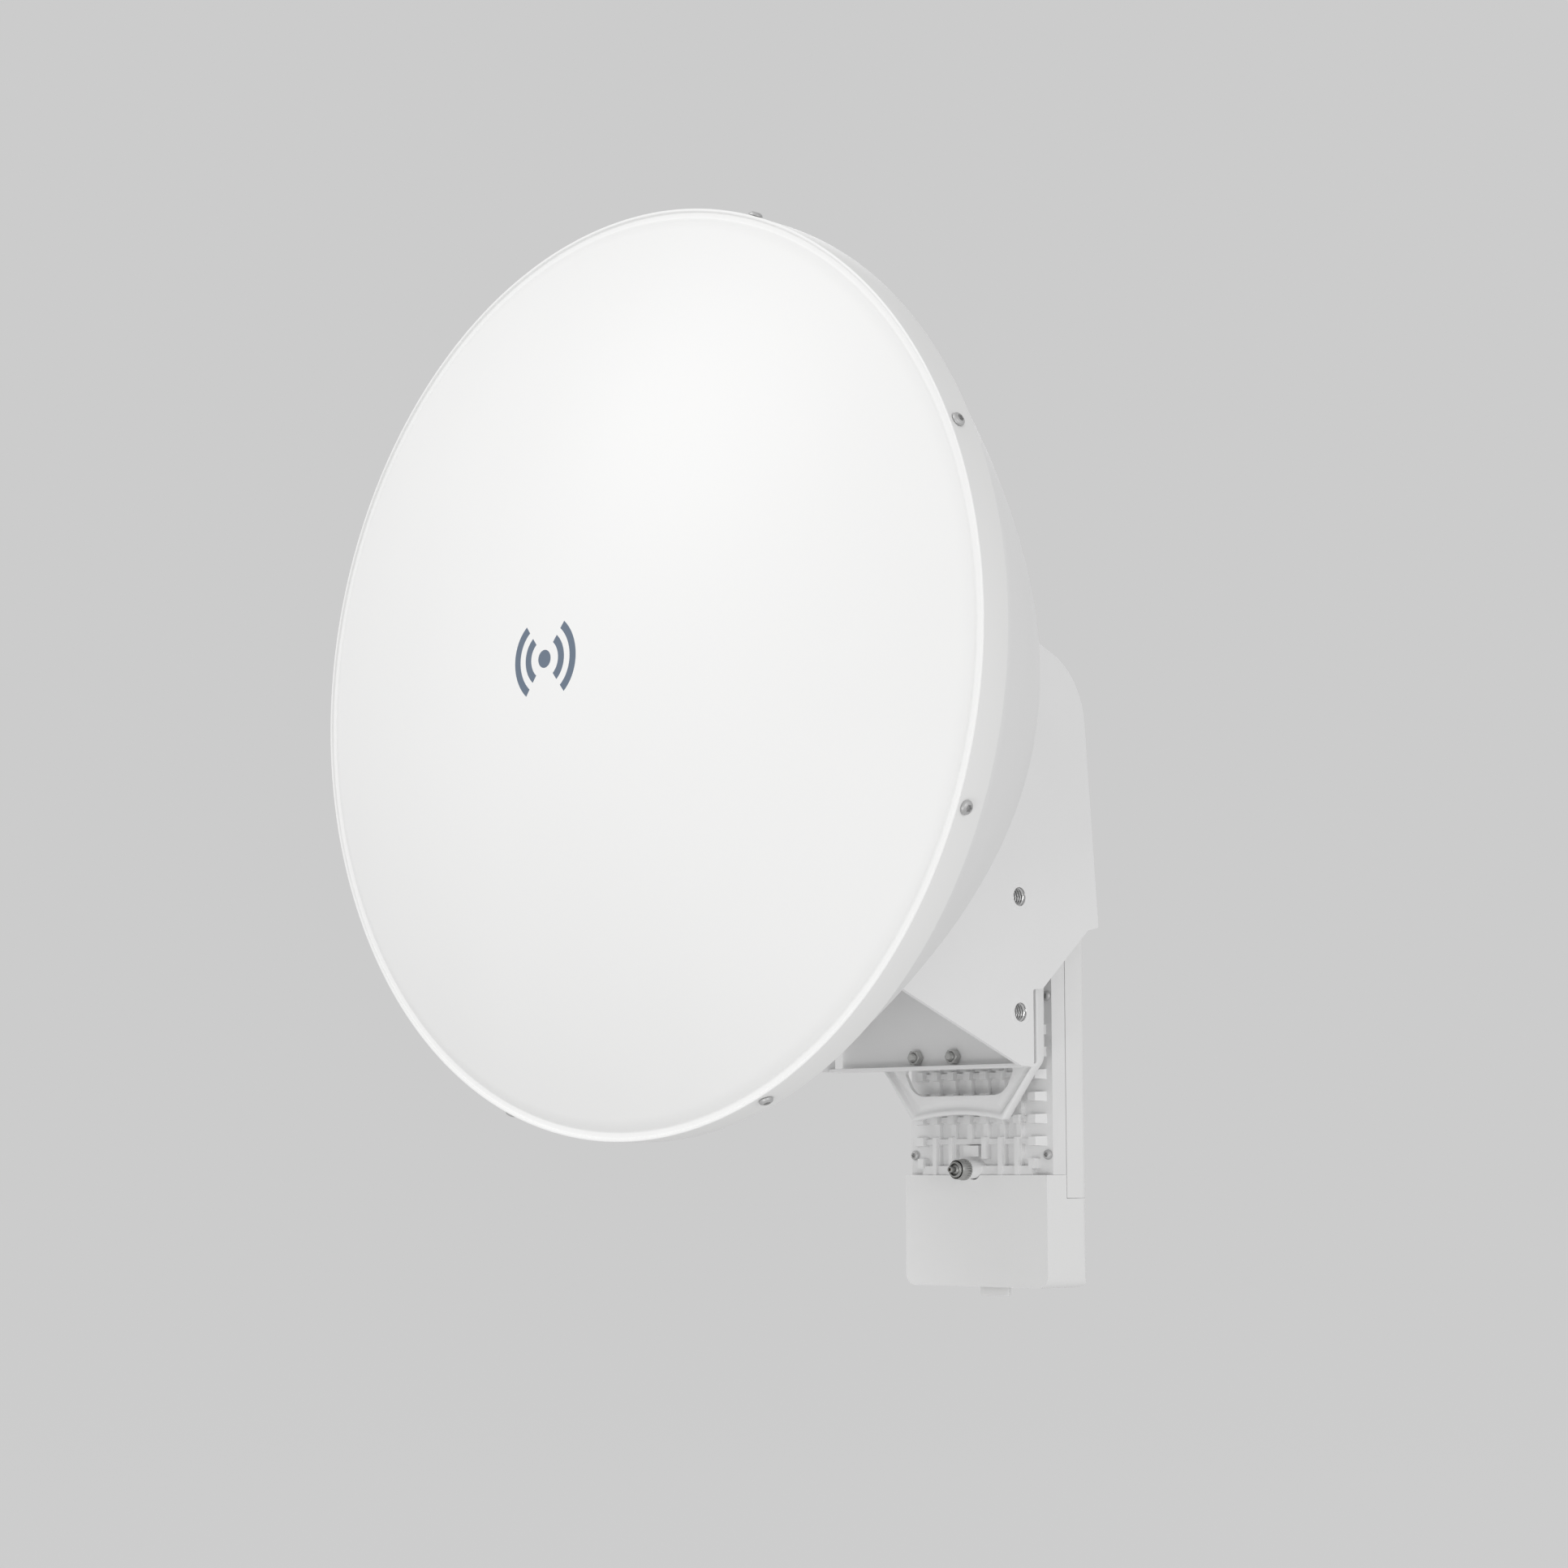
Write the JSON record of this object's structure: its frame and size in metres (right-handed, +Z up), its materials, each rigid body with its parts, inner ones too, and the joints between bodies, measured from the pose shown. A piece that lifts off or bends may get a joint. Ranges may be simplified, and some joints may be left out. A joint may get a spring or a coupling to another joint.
{
  "type": "microwave dish antenna",
  "caption": "Round microwave dish antenna: domed white radome, deep reflector, folded metal rear housing and a slim radio unit on a cradle below.",
  "frame": {"origin": "midway between the two side walls' outer faces, at the middle of the threaded seats that take a pole bracket", "axes": "+Z up, -Y along the beam, out of the radome; +X is towards the right-hand wall as seen from behind the radome's front, looking along +Y"},
  "size_m": [0.378, 0.293, 0.4445],
  "materials": {
    "radome": "smooth white moulded plastic",
    "sheet": "white powder-coated sheet metal",
    "casting": "white painted die casting",
    "cover": "white moulded plastic, fine texture",
    "steel": "plain steel fastener",
    "coax": "nickel-plated brass",
    "aluminium": "machined aluminium",
    "jack_shell": "tinned steel shell",
    "rubber": "black rubber",
    "dielectric": "off-white dielectric plastic",
    "board": "green solder mask",
    "dark_plastic": "black plastic",
    "jumper": "black cable jacket"
  },
  "bodies": {
    "dish": {"circuit_board": "board", "cradle": "sheet", "cradle_nut_left": "steel", "cradle_nut_right": "steel", "cradle_screw_left": "steel", "cradle_screw_right": "steel", "data_jack": "jack_shell", "feed_block": "aluminium", "feed_cone": "dielectric", "feed_disc": "aluminium", "feed_jack_left": "coax", "feed_jack_right": "coax", "feed_tube": "aluminium", "gps_port": "coax", "gps_ring": "coax", "heatsink": "casting", "hub_bolt_1": "steel", "hub_bolt_2": "steel", "hub_bolt_3": "steel", "hub_bolt_4": "steel", "hub_plate": "aluminium", "jumper_left": "jumper", "jumper_right": "jumper", "management_jack": "jack_shell", "radio_cover": "cover", "radio_jack_left": "coax", "radio_jack_right": "coax", "radio_screw_lower_left": "steel", "radio_screw_lower_right": "steel", "radio_screw_upper_left": "steel", "radio_screw_upper_right": "steel", "radio_seal": "rubber", "radome": "radome", "radome_gasket": "rubber", "radome_screw_1": "steel", "radome_screw_2": "steel", "radome_screw_3": "steel", "radome_screw_4": "steel", "radome_screw_5": "steel", "radome_screw_6": "steel", "radome_screw_7": "steel", "radome_screw_8": "steel", "reflector": "sheet", "reset_switch": "dark_plastic", "side_wall_left": "sheet", "side_wall_right": "sheet", "threaded_seat_lower_left": "steel", "threaded_seat_lower_right": "steel", "threaded_seat_upper_left": "steel", "threaded_seat_upper_right": "steel", "top_cover": "sheet", "web_plate": "sheet"},
    "port_cover": {"port_cover": "cover"},
    "cover_latch": {"cover_latch": "cover"},
    "reset_button": {"reset_button": "dark_plastic"},
    "feed_nut_left": {"feed_nut_left": "coax"},
    "feed_nut_right": {"feed_nut_right": "coax"},
    "radio_nut_left": {"radio_nut_left": "coax"},
    "radio_nut_right": {"radio_nut_right": "coax"}
  },
  "joints": [
    {"name": "cover_slide", "type": "slide", "parent": "dish", "child": "port_cover", "axis": [0, 0, -1], "range_m": [0, 0.05]},
    {"name": "latch_flex", "type": "hinge", "parent": "port_cover", "child": "cover_latch", "pos_m": [0, 0.053, -0.1422], "axis": [1, 0, 0], "range_deg": [0, 8], "stiffness_Nm_per_rad": 0.02},
    {"name": "reset_press", "type": "slide", "parent": "dish", "child": "reset_button", "axis": [0, 0, 1], "range_m": [0, 0.001], "stiffness_N_per_m": 300},
    {"name": "feed_nut_left_turn", "type": "hinge", "parent": "dish", "child": "feed_nut_left", "pos_m": [-0.015, 0.034, 0.1078], "axis": [0, 1, 0], "continuous": true},
    {"name": "feed_nut_right_turn", "type": "hinge", "parent": "dish", "child": "feed_nut_right", "pos_m": [0.015, 0.034, 0.1078], "axis": [0, 1, 0], "continuous": true},
    {"name": "radio_nut_left_turn", "type": "hinge", "parent": "dish", "child": "radio_nut_left", "pos_m": [-0.019, 0.0585, 0.0858], "axis": [0, 0, 1], "continuous": true},
    {"name": "radio_nut_right_turn", "type": "hinge", "parent": "dish", "child": "radio_nut_right", "pos_m": [0.019, 0.0585, 0.0858], "axis": [0, 0, 1], "continuous": true}
  ]
}
